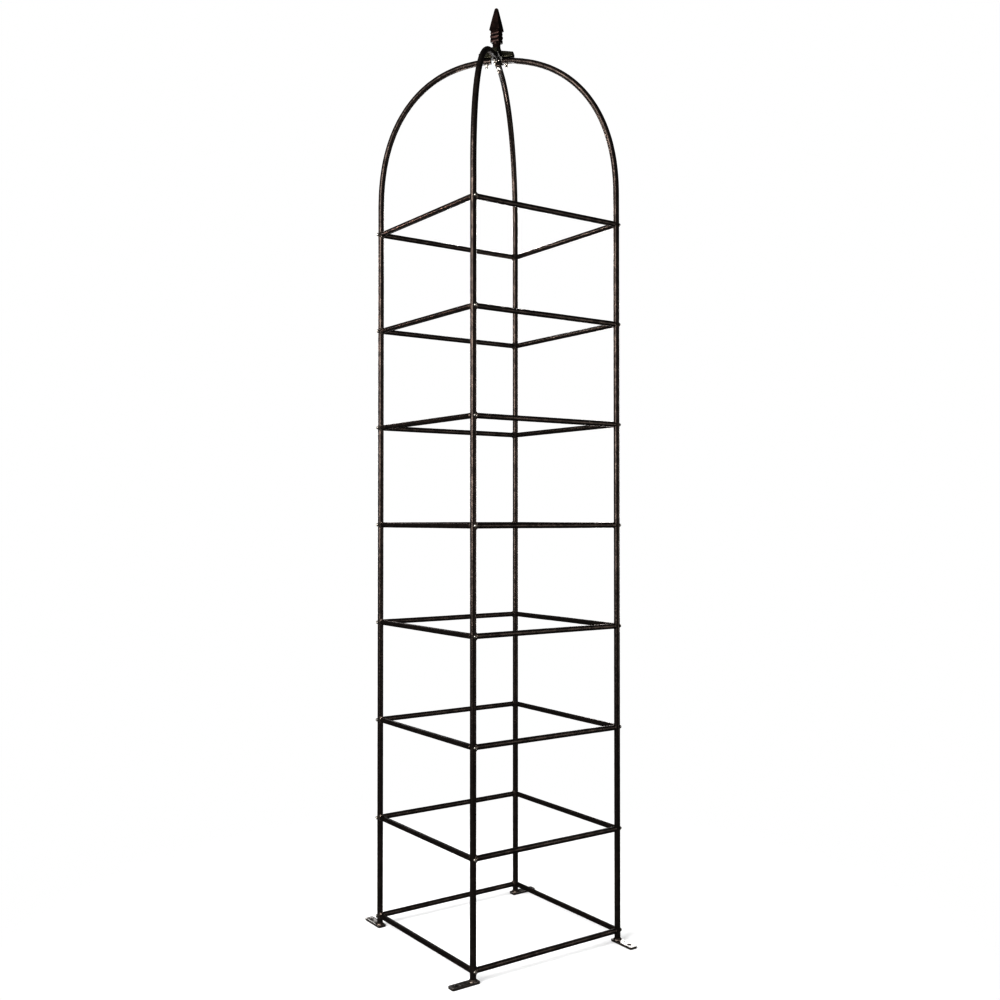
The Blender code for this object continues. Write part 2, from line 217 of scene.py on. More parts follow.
# The collar's edge from its base up: (reach, share of the way to the spear)
COLLAR_PROFILE = (
    (COLLAR_REACH - COLLAR_EDGE, 0.0), (COLLAR_REACH, 0.02), (COLLAR_REACH, 0.22),
    (LIP_REACH, 0.27), (GROOVE_REACH, 0.32), (GROOVE_REACH, 0.34), (SHOULDER_REACH, 0.37),
    (BEAD_REACH, 0.42), (BEAD_REACH, 0.54), (SHOULDER_REACH, 0.59), (GROOVE_REACH, 0.62),
    (GROOVE_REACH, 0.65), (LIP_REACH, 0.69), (COLLAR_REACH, 0.74), (LIP_REACH, 0.82),
    (GROOVE_REACH, 0.93), (GROOVE_REACH, 0.97))
# The spear's blunt tip: (reach, how far below the top)
SPEAR_TIP = ((0.0048, 0.0014), (0.0034, 0.0004), (0.0016, 0.0))

# Colours of the finishes: dark tone, warm tone, and a lighter edge tone (scuffing and painted
# highlight)
BAR_COLOURS = ((0.0105, 0.0084, 0.0074), (0.0225, 0.0176, 0.0150), (0.080, 0.063, 0.052))
WELD_COLOURS = ((0.020, 0.0165, 0.0145), (0.055, 0.044, 0.037), (0.160, 0.135, 0.115))
FOOT_COLOURS = ((0.010, 0.0085, 0.0075), (0.024, 0.018, 0.014), (0.080, 0.063, 0.052))
HUB_COLOURS = ((0.0065, 0.0066, 0.0044), (0.016, 0.015, 0.010), (0.070, 0.066, 0.048))
FINIAL_COLOURS = ((0.0048, 0.0032, 0.0029), (0.0210, 0.0115, 0.0095), (0.070, 0.045, 0.037))
STEEL_COLOURS = ((0.060, 0.057, 0.052), (0.140, 0.130, 0.115), (0.420, 0.400, 0.370))
RUST_COLOUR = (0.060, 0.026, 0.012)
DARK_EDGE = (0.30, 0.26, 0.24)
LIGHT_EDGE = (0.90, 0.88, 0.86)

# Textures of the finishes: cells of noise per metre, and the part of each noise that is used
MOTTLE_SCALE = 48.0
PATCH_SCALE = 9.0
SPECKLE_SCALE = 620.0
BREAK_SCALE = 210.0
HAMMER_SCALE = 130.0
MOTTLE_RANGE = (0.36, 0.66)
PATCH_RANGE = (0.35, 0.75)
SHEEN_RANGE = (0.3, 0.7)
# Breaks in the lighter edges, which are partly scuffing and partly painted highlight
WEAR_AND_HIGHLIGHT_BREAKS = (0.34, 0.58)
RUST_BREAKS = (0.38, 0.62)
PATCH_SHARE = 0.5
SPECKLE_ROUGHNESS = 0.05
RUST_ROUGHNESS = 0.15
HAMMER_BUMP = 0.0012
SPECKLE_BUMP = 0.00025

# Camera, about 3.1 m from the obelisk's axis and at chest height
CAMERA_DISTANCE = 3.125
CAMERA_BEARING = math.radians(34.98)
CAMERA_HEADING = math.radians(35.16)
CAMERA_PITCH = math.radians(0.96)
CAMERA_HEIGHT = 1.1647
CAMERA_LENS = 39.82

# Studio
WHITE = (1.0, 1.0, 1.0, 1.0)
FLOOR_COLOUR = (0.26, 0.26, 0.26, 1.0)
FLOOR_RADIUS = 1.4
FLOOR_SIDES = 96
FLOOR_DROP = 0.0004
FLOOR_FADE_START = 0.55
FLOOR_GLOW = 0.40
AMBIENT_LIGHT = 0.20
VIEW_GAMMA = 0.75

# Meshes
SHARP_ANGLE = math.radians(38)
SHORTEST_EDGE = 1e-9


def smooth_step(value):
    share = np.clip(value, 0.0, 1.0)
    return share * share * (3 - 2 * share)


def uneven(points, length, seed):
    """Smooth noise from -1 to 1 at each point, with features of the given length."""
    offset = Vector([seed * stride for stride in NOISE_STRIDE])
    return np.array([noise.noise(Vector(point) / length + offset) for point in points])


def quarter_turn(points, quarter):
    """Points of the front left quarter, turned into another quarter of the square."""
    matrix = np.array(Matrix.Rotation(quarter * math.pi / 2, 3, "Z"))
    return np.asarray(points) @ matrix.T


def moved(shell, matrix):
    points, faces = shell
    rotation, shift = np.array(matrix.to_3x3()), np.array(matrix.translation)
    return np.asarray(points) @ rotation.T + shift, faces


# Outlines: how far a cross-section reaches at each angle, for a size of 1

def round_outline(angles):
    return np.ones_like(angles)


def hexagon_outline(angles):
    """A hexagon whose flats lie 1 from its middle."""
    sector = math.pi / 3
    return 1 / np.cos((angles + sector / 2) % sector - sector / 2)


def soft_square_outline(angles):
    """A square with soft edges, whose corners lie 1 from its middle along X and Y."""
    power = CAST_SQUARENESS
    turned = angles - math.pi / 4
    size = (np.abs(np.cos(turned)) ** power + np.abs(np.sin(turned)) ** power) ** (-1 / power)
    return size / 2 ** (0.5 - 1 / power)


def ring(radius, height, outline=round_outline, sides=HEX_SIDES):
    """One level cross-section around Z; radius and height may vary from point to point."""
    angles = np.arange(sides) * math.tau / sides
    reach = radius * outline(angles)
    return np.column_stack((reach * np.cos(angles), reach * np.sin(angles),
                            np.full(sides, height)))


def skin(rings, closed=False):
    """The shell through equal rings: capped at both ends, or joined end to end if closed."""
    count, sides = len(rings), len(rings[0])
    points = [np.vstack(rings)]
    faces = []
    for row in range(count if closed else count - 1):
        here, there = row * sides, (row + 1) % count * sides
        for side in range(sides):
            after = (side + 1) % sides
            faces.append((here + side, here + after, there + after, there + side))
    if not closed:
        for cap, start in enumerate((0, (count - 1) * sides)):
            points.append(rings[0 if cap == 0 else -1].mean(axis=0)[None])
            centre = count * sides + cap
            faces += [(start + side, start + (side + 1) % sides, centre)
                      for side in range(sides)]
    return np.vstack(points), faces


def edge_wear_and_highlight(mesh):
    """How far each vertex stands out of its neighbours: high on the edges, which get a lighter
    tone for scuffing and as a painted edge highlight.
    """
    count = len(mesh.vertices)
    place = np.zeros(count * 3)
    normal = np.zeros(count * 3)
    edges = np.zeros(len(mesh.edges) * 2, dtype=np.int64)
    mesh.vertices.foreach_get("co", place)
    mesh.vertices.foreach_get("normal", normal)
    mesh.edges.foreach_get("vertices", edges)
    place, normal, edges = place.reshape(-1, 3), normal.reshape(-1, 3), edges.reshape(-1, 2)
    start, end = edges[:, 0], edges[:, 1]
    along = place[end] - place[start]
    along /= np.maximum(np.linalg.norm(along, axis=1, keepdims=True), SHORTEST_EDGE)
    total, links = np.zeros(count), np.zeros(count)
    np.add.at(total, start, -(normal[start] * along).sum(axis=1))
    np.add.at(total, end, (normal[end] * along).sum(axis=1))
    np.add.at(links, start, 1)
    np.add.at(links, end, 1)
    return total / np.maximum(links, 1)


def set_attribute(mesh, name, values):
    layer = mesh.attributes.new(name, "FLOAT", "POINT")
    layer.data.foreach_set("value", np.asarray(values, np.float32))


def finish_mesh(mesh):
    """Faces pointing out, smooth shading with sharp corners, and the edges' scuffing and painted
    highlight.
    """
    shape = bmesh.new()
    shape.from_mesh(mesh)
    bmesh.ops.recalc_face_normals(shape, faces=shape.faces)
    shape.to_mesh(mesh)
    shape.free()
    mesh.shade_smooth()
    mesh.set_sharp_from_angle(angle=SHARP_ANGLE)
    set_attribute(mesh, "wear_and_highlight", edge_wear_and_highlight(mesh))


def add_piece(name, mesh, finish, nodes=(), heat=None):
    """A finished piece of the obelisk, which stands for its CAD nodes."""
    finish_mesh(mesh)
    if heat is None:
        heat = np.zeros(len(mesh.vertices))
    set_attribute(mesh, "heat", heat)
    mesh.materials.append(finish)
    piece = bpy.data.objects.new(name, mesh)
    bpy.context.scene.collection.objects.link(piece)
    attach(piece, "root")
    if nodes:
        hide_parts(*nodes)
    return piece


def shells_mesh(name, shells):
    """One mesh of several separate closed shells."""
    points, faces, start = [], [], 0
    for shell_points, shell_faces in shells:
        points.append(shell_points)
        faces += [tuple(index + start for index in face) for face in shell_faces]
        start += len(shell_points)
    mesh = bpy.data.meshes.new(name)
    mesh.from_pydata(np.vstack(points).tolist(), [], faces)
    return mesh


# Finishes

def add_node(tree, kind, **settings):
    """A new shader node with the given settings."""
    node = tree.nodes.new(kind)
    for key, value in settings.items():
        setattr(node, key, value)
    return node


def noise_texture(tree, coordinates, scale, detail=4.0, roughness=0.55):
    texture = add_node(tree, "ShaderNodeTexNoise")
    texture.inputs["Scale"].default_value = scale
    texture.inputs["Detail"].default_value = detail
    texture.inputs["Roughness"].default_value = roughness
    tree.links.new(coordinates, texture.inputs["Vector"])
    return texture.outputs["Fac"]


def value_range(tree, value, low, high, to_low=0.0, to_high=1.0):
    """The value's range from low to high, spread smoothly over another range."""
    node = add_node(tree, "ShaderNodeMapRange", interpolation_type="SMOOTHSTEP")
    for key, number in (("From Min", low), ("From Max", high),
                        ("To Min", to_low), ("To Max", to_high)):
        node.inputs[key].default_value = number
    tree.links.new(value, node.inputs["Value"])
    return node.outputs["Result"]


def combine(tree, operation, first, second):
    node = add_node(tree, "ShaderNodeMath", operation=operation)
    for socket, value in zip(node.inputs, (first, second)):
        if isinstance(value, (int, float)):
            socket.default_value = value
        else:
            tree.links.new(value, socket)
    return node.outputs["Value"]


def blend_colour(tree, share, first, second):
    """From the first colour to the second, as share goes from 0 to 1."""
    node = add_node(tree, "ShaderNodeMix", data_type="RGBA")
    tree.links.new(share, node.inputs["Factor"])
    colours = [socket for socket in node.inputs if socket.type == "RGBA"]
    for socket, colour in zip(colours, (first, second)):
        if isinstance(colour, tuple):
            socket.default_value = (*colour, 1.0)
        else:
            tree.links.new(colour, socket)
    return [socket for socket in node.outputs if socket.type == "RGBA"][0]


def attribute(tree, name):
    return add_node(tree, "ShaderNodeAttribute", attribute_name=name).outputs["Fac"]


def bump(tree, height, distance, strength, normal=None):
    node = add_node(tree, "ShaderNodeBump")
    node.inputs["Distance"].default_value = distance
    node.inputs["Strength"].default_value = strength
    tree.links.new(height, node.inputs["Height"])
    if normal is not None:
        tree.links.new(normal, node.inputs["Normal"])
    return node.outputs["Normal"]


def iron_colour(tree, place, mottle, colours, brown, worn_and_highlit):
    """Mottled between two dark tones, browned where it was heated, lighter on its edges for
    scuffing and as a painted highlight.
    """
    dark, warm, rubbed_and_highlit = colours
    patches = noise_texture(tree, place, PATCH_SCALE, 3.0)
    body = blend_colour(tree, value_range(tree, mottle, *MOTTLE_RANGE), dark, warm)
    patchy = value_range(tree, patches, *PATCH_RANGE, 0.0, PATCH_SHARE)
    toned = blend_colour(tree, patchy, body, dark)
    browned = blend_colour(tree, brown, toned, RUST_COLOUR)
    return blend_colour(tree, worn_and_highlit, browned, rubbed_and_highlit)


def iron_roughness(tree, mottle, speckle, brown, roughness):
    """From the smoothest to the roughest with the mottling, finely grained, dull when browned."""
    smoothest, roughest = roughness
    sheen = value_range(tree, mottle, *SHEEN_RANGE, roughest, smoothest)
    fine = value_range(tree, speckle, *SHEEN_RANGE, -SPECKLE_ROUGHNESS, SPECKLE_ROUGHNESS)
    rough = combine(tree, "ADD", sheen, fine)
    return combine(tree, "ADD", rough, combine(tree, "MULTIPLY", brown, RUST_ROUGHNESS))


def iron_grain(tree, place, speckle, grain):
    """A hammered skin with a fine grain over it."""
    hammered = noise_texture(tree, place, HAMMER_SCALE, 2.0)
    coarse = bump(tree, hammered, HAMMER_BUMP, grain)
    return bump(tree, speckle, SPECKLE_BUMP, grain, coarse)


def iron_finish(name, colours, roughness=(0.24, 0.38), metallic=0.8, grain=0.6, rust_share=0.5,
                wear_and_highlight_range=(0.10, 0.24), edge_tint=DARK_EDGE, specular=0.12):
    """Baked dark finish over iron: mottled, lighter on its edges for scuffing and as a painted
    highlight, browned beside its welds.
    """
    finish = bpy.data.materials.new(name)
    finish.use_nodes = True
    tree = finish.node_tree
    place = add_node(tree, "ShaderNodeTexCoord").outputs["Object"]
    mottle = noise_texture(tree, place, MOTTLE_SCALE, 6.0, 0.62)
    speckle = noise_texture(tree, place, SPECKLE_SCALE, 3.0)
    broken = noise_texture(tree, place, BREAK_SCALE, 5.0, 0.7)
    # Lighter edges: partly scuffing of the finish, partly a painted edge highlight.
    worn_and_highlit = combine(tree, "MULTIPLY", value_range(tree, attribute(tree, "wear_and_highlight"), *wear_and_highlight_range),
                   value_range(tree, broken, *WEAR_AND_HIGHLIGHT_BREAKS))
    brown = combine(tree, "MULTIPLY", attribute(tree, "heat"),
                    value_range(tree, broken, *RUST_BREAKS, 0.0, rust_share))
    inputs = tree.nodes["Principled BSDF"].inputs
    tree.links.new(iron_colour(tree, place, mottle, colours, brown, worn_and_highlit), inputs["Base Color"])
    tree.links.new(iron_roughness(tree, mottle, speckle, brown, roughness), inputs["Roughness"])
    tree.links.new(iron_grain(tree, place, speckle, grain), inputs["Normal"])
    inputs["Metallic"].default_value = metallic
    inputs["Specular IOR Level"].default_value = specular
    inputs["Specular Tint"].default_value = (*edge_tint, 1.0)
    return finish


def make_finishes():
    """The finishes by name: one for each material of the CAD frame, and one for the welds."""
    return {
        "leg_iron": iron_finish("leg_iron", BAR_COLOURS, wear_and_highlight_range=(0.16, 0.30)),
        "rung_iron": iron_finish("rung_iron", BAR_COLOURS, wear_and_highlight_range=(0.16, 0.30)),
        "weld_iron": iron_finish("weld_iron", WELD_COLOURS, roughness=(0.26, 0.40),
                                 rust_share=0.35),
        "foot_iron": iron_finish("foot_iron", FOOT_COLOURS, roughness=(0.20, 0.34),
                                 metallic=0.5, edge_tint=LIGHT_EDGE, specular=0.45),
        "hub_iron": iron_finish("hub_iron", HUB_COLOURS, roughness=(0.26, 0.42), grain=0.4),
        "finial_iron": iron_finish("finial_iron", FINIAL_COLOURS, roughness=(0.18, 0.30),
                                   grain=0.25, wear_and_highlight_range=(0.18, 0.40)),
        "fastener_steel": iron_finish("fastener_steel", STEEL_COLOURS, roughness=(0.20, 0.34),
                                      metallic=0.9, grain=0.2),
    }


# Bars

def leg_centreline():
    """Points along the leg's axis, evenly spaced, as (reach from the middle, height)."""
    power = 2 / BEND_EXPONENT
    last = math.acos((BAR_END_REACH / CORNER_REACH) ** (1 / power))
    angles = np.linspace(0.0, last, BEND_STEPS)
    reach = CORNER_REACH * np.cos(angles) ** power
    height = BEND_START_HEIGHT + (CROWN_HEIGHT - BEND_START_HEIGHT) * np.sin(angles) ** power
    reach = np.concatenate(([CORNER_REACH], reach))
    height = np.concatenate(([FOOT_TOP + GAP], height))
    length = np.concatenate(([0.0], np.cumsum(np.hypot(np.diff(reach), np.diff(height)))))
    stations = np.linspace(0.0, length[-1], round(length[-1] / RING_SPACING))
    return np.column_stack((np.interp(stations, length, reach),
                            np.interp(stations, length, height)))


def chamfered(line):
    """A bar's stations with one more just inside each end, and the radius lost at each."""
    first = line[0] + (line[1] - line[0]) * (END_CHAMFER / np.linalg.norm(line[1] - line[0]))
    last = line[-1] + (line[-2] - line[-1]) * (END_CHAMFER / np.linalg.norm(line[-2] - line[-1]))
    lost = np.zeros(len(line) + 2)
    lost[0] = lost[-1] = END_CHAMFER
    return np.vstack((line[:1], first[None], line[1:-1], last[None], line[-1:])), lost


def leg_rings(seed):
    """The round sections of the front left leg, uneven as forged bar is, flat at the hub."""
    line, lost = chamfered(leg_centreline())
    slope = np.gradient(line, axis=0)
    slope /= np.linalg.norm(slope, axis=1, keepdims=True)
    angles = np.arange(LEG_SIDES) * math.tau / LEG_SIDES
    outward = np.array((-1.0, -1.0, 0.0)) / math.sqrt(2)
    upward = np.array((0.0, 0.0, 1.0))
    sideways = np.cross(outward, upward)
    rings = []
    for (reach, height), (run, rise), less in zip(line, slope, lost):
        across = outward * rise - upward * run
        circle = np.outer(np.cos(angles), across) + np.outer(np.sin(angles), sideways)
        centre = outward * reach + upward * height
        surface = centre + circle * LEG_RADIUS
        depth = HAMMER_DEPTH * uneven(surface, HAMMER_LENGTH, seed)
        rings.append(centre + circle * (LEG_RADIUS - less + depth)[:, None])
    return [pressed_flat(ring_points, outward, sideways) for ring_points in rings]


def pressed_flat(points, outward, sideways):
    """A section of the leg, pressed flat above and below where the hub's plate and nut bear."""
    reach = points @ outward
    share = smooth_step((SEAT_RUN_OUT - reach) / (SEAT_RUN_OUT - SEAT_FULL))
    flat = np.clip(points[:, 2], SEAT_BOTTOM, SEAT_TOP)
    spread = (points @ sideways) * SEAT_SPREAD * share
    points = points + np.outer(spread, sideways)
    points[:, 2] += share * (flat - points[:, 2])
    return points


def rung_heights(side):
    """The heights of the rungs of one side, from the CAD frame."""
    boxes = [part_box(f"rung_{side}_{level}") for level in range(1, LEVELS + 1)]
    return [(low.z + high.z) / 2 for low, high in boxes]


def rung_shell(height, seed):
    """One rung of the front side, from its weld at the left leg to the right leg."""
    count = round((RUNG_END - RUNG_START) / RING_SPACING)
    line = np.zeros((count, 3))
    line[:, 0] = np.linspace(RUNG_START, RUNG_END, count)
    line[:, 1:] = (-HALF_SPACING, height)
    line, lost = chamfered(line)
    share = (line[:, 0] - RUNG_START) / (RUNG_END - RUNG_START)
    hold = np.sin(math.pi * np.clip(share, 0.0, 1.0))
    line[:, 1] += BOW_DEPTH * hold * uneven(line, BOW_LENGTH, seed)
    line[:, 2] += BOW_DEPTH * hold * uneven(line, BOW_LENGTH, seed + BOW_SEED)
    angles = np.arange(RUNG_SIDES) * math.tau / RUNG_SIDES
    circle = np.column_stack((np.zeros(RUNG_SIDES), np.cos(angles), np.sin(angles)))
    rings = []
    for centre, less in zip(line, lost):
        depth = HAMMER_DEPTH * uneven(centre + circle * RUNG_RADIUS, HAMMER_LENGTH, seed)
        rings.append(centre + circle * (RUNG_RADIUS - less + depth)[:, None])
    return skin(rings)


# Welds

def bead_width(angles, width, seed):
    """A bead's width at each angle round its joint: rippled and a little irregular."""
    circle = np.column_stack((np.cos(angles), np.sin(angles), np.zeros_like(angles)))
    ripple = np.abs(np.sin(angles * WELD_RIPPLES / 2))
    wander = WELD_WANDER * uneven(circle, WELD_WANDER_LENGTH, seed)
    return width * (1 + wander + WELD_EDGE_RIPPLE * (ripple - 0.5))


def bead_shell(bar_toe, plate_toe, corner, inside, angles):
    """A closed bead from one toe line to the other, bulging out of the corner between them."""
    full = bar_toe + plate_toe - corner
    middle = (bar_toe + plate_toe) / 2 * (1 - WELD_FULLNESS) + full * WELD_FULLNESS
    out = middle - corner
    out /= np.linalg.norm(out, axis=1, keepdims=True)
    ripple = WELD_RIPPLE_DEPTH * (np.abs(np.sin(angles * WELD_RIPPLES / 2)) - 0.5)
    lines = [bar_toe]
    for share in WELD_CURVE_SHARES:
        curve = ((1 - share) ** 2 * bar_toe + 2 * share * (1 - share) * middle
                 + share ** 2 * plate_toe)
        lines.append(curve + out * (ripple * math.sin(math.pi * share))[:, None])
    lines += [plate_toe, inside]
    rings = [np.array(section) for section in zip(*lines)]
    return skin(rings, closed=True)


def rung_weld(height, seed):
    """The bead that joins a front rung to the front left leg."""
    angles = np.arange(WELD_STEPS) * math.tau / WELD_STEPS
    cosine, sine = np.cos(angles), np.sin(angles)
    wrap = np.arcsin(RUNG_RADIUS * cosine / LEG_RADIUS)
    on_rung = bead_width(angles, WELD_ON_RUNG, seed)
    on_leg = bead_width(angles, WELD_ON_LEG, seed + WELD_FAR_TOE_SEED)
    radius, leg = RUNG_RADIUS - WELD_SINK, LEG_RADIUS - WELD_SINK
    join = LEG_RADIUS * np.cos(wrap)
    rung_toe = np.column_stack((join + on_rung, radius * cosine, radius * sine))
    turn = wrap + on_leg / LEG_RADIUS * cosine
    leg_toe = np.column_stack((leg * np.cos(turn), leg * np.sin(turn),
                               (RUNG_RADIUS + on_leg) * sine))
    corner = np.column_stack((join, RUNG_RADIUS * cosine, RUNG_RADIUS * sine))
    deep = RUNG_RADIUS - WELD_ROOT_DEPTH
    inside = np.column_stack((join - WELD_ROOT_INSET, deep * cosine, deep * sine))
    points, faces = bead_shell(rung_toe, leg_toe, corner, inside, angles)
    return points + np.array((-HALF_SPACING, -HALF_SPACING, height)), faces


def foot_weld(seed):
    """The bead that joins the front left leg to its foot."""
    angles = np.arange(WELD_STEPS) * math.tau / WELD_STEPS
    round_leg = np.column_stack((np.cos(angles), np.sin(angles), np.zeros(WELD_STEPS)))
    up = bead_width(angles, FOOT_WELD_HEIGHT, seed)
    out = bead_width(angles, FOOT_WELD_REACH, seed + WELD_FAR_TOE_SEED)
    top = np.array((0.0, 0.0, FOOT_TOP))
    upward = np.array((0.0, 0.0, 1.0))
    leg_toe = round_leg * (LEG_RADIUS - WELD_SINK) + top + np.outer(up, upward)
    plate_toe = round_leg * (LEG_RADIUS + out)[:, None] + top - upward * WELD_SINK
    corner = round_leg * LEG_RADIUS + top
    inside = round_leg * (LEG_RADIUS - WELD_ROOT_DEPTH) + top + upward * WELD_ROOT_INSET
    points, faces = bead_shell(leg_toe, plate_toe, corner, inside, angles)
    return points + np.array((-HALF_SPACING, -HALF_SPACING, 0.0)), faces


# Fasteners

def screw_shell():
    """A button-head screw with a hexagon socket, head up, standing on the origin's plane."""
    rings = [ring(SCREW_RADIUS, -SCREW_DEPTH), ring(SCREW_RADIUS, 0.0),
             ring(SCREW_HEAD_RADIUS - SCREW_HEAD_BREAK, 0.0),
             ring(SCREW_HEAD_RADIUS, SCREW_HEAD_BREAK),
             ring(SCREW_HEAD_RADIUS, SCREW_HEAD_EDGE)]
    rise = SCREW_HEAD_HEIGHT - SCREW_HEAD_EDGE
    flat = math.acos(SCREW_FLAT_TO_SOCKET * SCREW_SOCKET / SCREW_HEAD_RADIUS)
    for step in range(1, SCREW_DOME_STEPS + 1):
        angle = flat * step / SCREW_DOME_STEPS
        rings.append(ring(SCREW_HEAD_RADIUS * math.cos(angle),
                          SCREW_HEAD_EDGE + rise * math.sin(angle) / math.sin(flat)))
    rings += [ring(SCREW_SOCKET + SCREW_SOCKET_BREAK, SCREW_HEAD_HEIGHT, hexagon_outline),
              ring(SCREW_SOCKET, SCREW_HEAD_HEIGHT - SCREW_SOCKET_BREAK, hexagon_outline),
              ring(SCREW_SOCKET, SCREW_HEAD_HEIGHT - SCREW_SOCKET_DEPTH, hexagon_outline)]
    return skin(rings)


def chamfer_height(half_flats, top, direction):
    """The height at which a round chamfer meets each side of a hexagon."""
    reach = half_flats * hexagon_outline(np.arange(HEX_SIDES) * math.tau / HEX_SIDES)
    return top - direction * (reach - HEX_FACE_SHARE * half_flats) * math.tan(HEX_CHAMFER_SLOPE)


def thread_rings(radius, bottom, length):
    """Sections of a thread that starts at a chamfered tip and winds upward."""
    angles = np.arange(HEX_SIDES) * math.tau / HEX_SIDES
    rings = [ring(radius - 2 * THREAD_DEPTH, bottom)]
    for rise in np.arange(0.0, length, THREAD_PITCH / THREAD_STEPS):
        phase = math.tau * rise / THREAD_PITCH - angles
        started = min(1.0, rise / THREAD_PITCH + THREAD_START)
        depth = THREAD_DEPTH * (1.5 - started - 0.5 * np.cos(phase))
        rings.append(ring(radius - depth, bottom + THREAD_DEPTH / 2 + rise))
    return rings


def bolt_shell(across_flats, head_height, radius, length, thread_length):
    """A hexagon bolt pointing down, its head standing on the origin's plane."""
    half = across_flats / 2
    rings = thread_rings(radius, -length, thread_length)
    rings += [ring(radius, -length + thread_length + THREAD_PITCH), ring(radius, 0.0),
              ring(HEX_FACE_SHARE * half, 0.0), ring(half, HEX_BREAK, hexagon_outline),
              ring(half, chamfer_height(half, head_height, 1), hexagon_outline),
              ring(HEX_FACE_SHARE * half, head_height), ring(HEX_MIDDLE_SHARE * half, head_height)]
    return skin(rings)


def stud_shell():
    """A threaded stud, from its tip up to inside the hub."""
    rings = thread_rings(STUD_RADIUS, stud_low.z, stud_high.z - stud_low.z - THREAD_PITCH)
    return skin([*rings, ring(STUD_RADIUS - THREAD_DEPTH, stud_high.z)])


def nut_shell(across_flats, bottom, top, bore):
    """A hexagon nut chamfered on both faces."""
    half, rim = across_flats / 2, bore + NUT_BORE_BREAK
    rings = [ring(HEX_FACE_SHARE * half, bottom),
             ring(half, chamfer_height(half, bottom, -1), hexagon_outline),
             ring(half, chamfer_height(half, top, 1), hexagon_outline),
             ring(HEX_FACE_SHARE * half, top), ring(rim, top), ring(bore, top - NUT_BORE_BREAK),
             ring(bore, bottom + NUT_BORE_BREAK), ring(rim, bottom)]
    return skin(rings, closed=True)


# Plates

def arc(centre, radius, start, end, steps=ARC_STEPS):
    """Points along an arc, with its two ends."""
    x, y = centre
    angles = [start + (end - start) * step / steps for step in range(steps + 1)]
    return [(x + radius * math.cos(angle), y + radius * math.sin(angle)) for angle in angles]


def hole_outline(centre, radius):
    return arc(centre, radius, 0.0, math.tau, STAKE_HOLE_STEPS)[:-1]


def plate_mesh(name, outlines, bottom, top, edge):
    """A plate with rounded edges: closed outlines, of which the inner ones are holes."""
    curve = bpy.data.curves.new(name, "CURVE")
    curve.dimensions = "2D"
    curve.fill_mode = "BOTH"
    curve.extrude = (top - bottom) / 2 - edge
    curve.bevel_depth = edge
    curve.bevel_resolution = FOOT_EDGE_STEPS
    curve.offset = -edge
    for outline in outlines:
        spline = curve.splines.new("POLY")
        spline.points.add(len(outline) - 1)
        for point, (x, y) in zip(spline.points, outline):
            point.co = (x, y, 0.0, 1.0)
        spline.use_cyclic_u = True
    holder = bpy.data.objects.new(name, curve)
    bpy.context.scene.collection.objects.link(holder)
    bpy.context.view_layer.update()
    mesh = bpy.data.meshes.new_from_object(holder.evaluated_get(
        bpy.context.evaluated_depsgraph_get()))
    bpy.data.objects.remove(holder)
    shape = bmesh.new()
    shape.from_mesh(mesh)
    bmesh.ops.remove_doubles(shape, verts=shape.verts, dist=MERGE_DISTANCE)
    shape.to_mesh(mesh)
    shape.free()
    mesh.transform(Matrix.Translation((0.0, 0.0, (bottom + top) / 2)))
    mesh.materials.clear()
    return mesh


def foot_outlines():
    """The foot of the front left leg, which points outward along -X, and its stake hole."""
    radius = FOOT_CORNER_RADIUS
    right, back = foot_high.x - radius, foot_high.y - radius
    left, front = foot_low.x + radius, foot_low.y + radius
    corners = ((right, back), (left, back), (left, front), (right, front))
    outline = []
    for quarter, corner in enumerate(corners):
        outline += arc(corner, radius, quarter * math.pi / 2, (quarter + 1) * math.pi / 2)
    middle = (-HALF_SPACING - STAKE_HOLE_REACH, -HALF_SPACING)
    return [outline, hole_outline(middle, STAKE_HOLE_RADIUS)]


# Hub

def crossbar_shell():
    """One of the hub's two crossing bars, along X: flat below, sloping to its ends above."""
    half, inset = HUB_ARM_WIDTH / 2, HUB_CORNER_RADIUS
    corner = np.linspace(0.0, math.pi / 2, HUB_CORNER_POINTS)
    ends = [(HUB_ARM_REACH - inset + inset * math.sin(angle),
             half - inset + inset * math.cos(angle)) for angle in corner]
    stations = [*ends[::-1], (HUB_FLAT_REACH, half)]
    stations = [(-reach, width) for reach, width in stations] + stations[::-1]
    rings = []
    for reach, width in stations:
        slope = max(0.0, abs(reach) - HUB_FLAT_REACH) / (HUB_ARM_REACH - HUB_FLAT_REACH)
        thickness = HUB_TOP - HUB_BOTTOM
        top = HUB_BOTTOM + thickness + (HUB_TIP_THICKNESS - thickness) * slope
        rings.append(np.array([(reach, -width, HUB_BOTTOM), (reach, width, HUB_BOTTOM),
                               (reach, width, top), (reach, -width, top)]))
    return skin(rings)


def cast_mesh(name, shells):
    """Overlapping shells run together as one casting, with soft edges and a sandy skin."""
    rough = bpy.data.objects.new(name, shells_mesh(name, shells))
    bpy.context.scene.collection.objects.link(rough)
    join = rough.modifiers.new("join", "REMESH")
    join.mode = "VOXEL"
    join.voxel_size = CAST_GRID
    soften = rough.modifiers.new("soften", "SMOOTH")
    soften.iterations = CAST_SMOOTHING
    bpy.context.view_layer.update()
    mesh = bpy.data.meshes.new_from_object(rough.evaluated_get(
        bpy.context.evaluated_depsgraph_get()))
    bpy.data.objects.remove(rough)
    points = np.array([vertex.co for vertex in mesh.vertices])
    normals = np.array([vertex.normal for vertex in mesh.vertices])
    depth = CAST_DEPTH * (uneven(points, CAST_LENGTH, CAST_SEED) - CAST_SINK)
    mesh.vertices.foreach_set("co", (points + normals * depth[:, None]).ravel())
    return mesh


# Finial

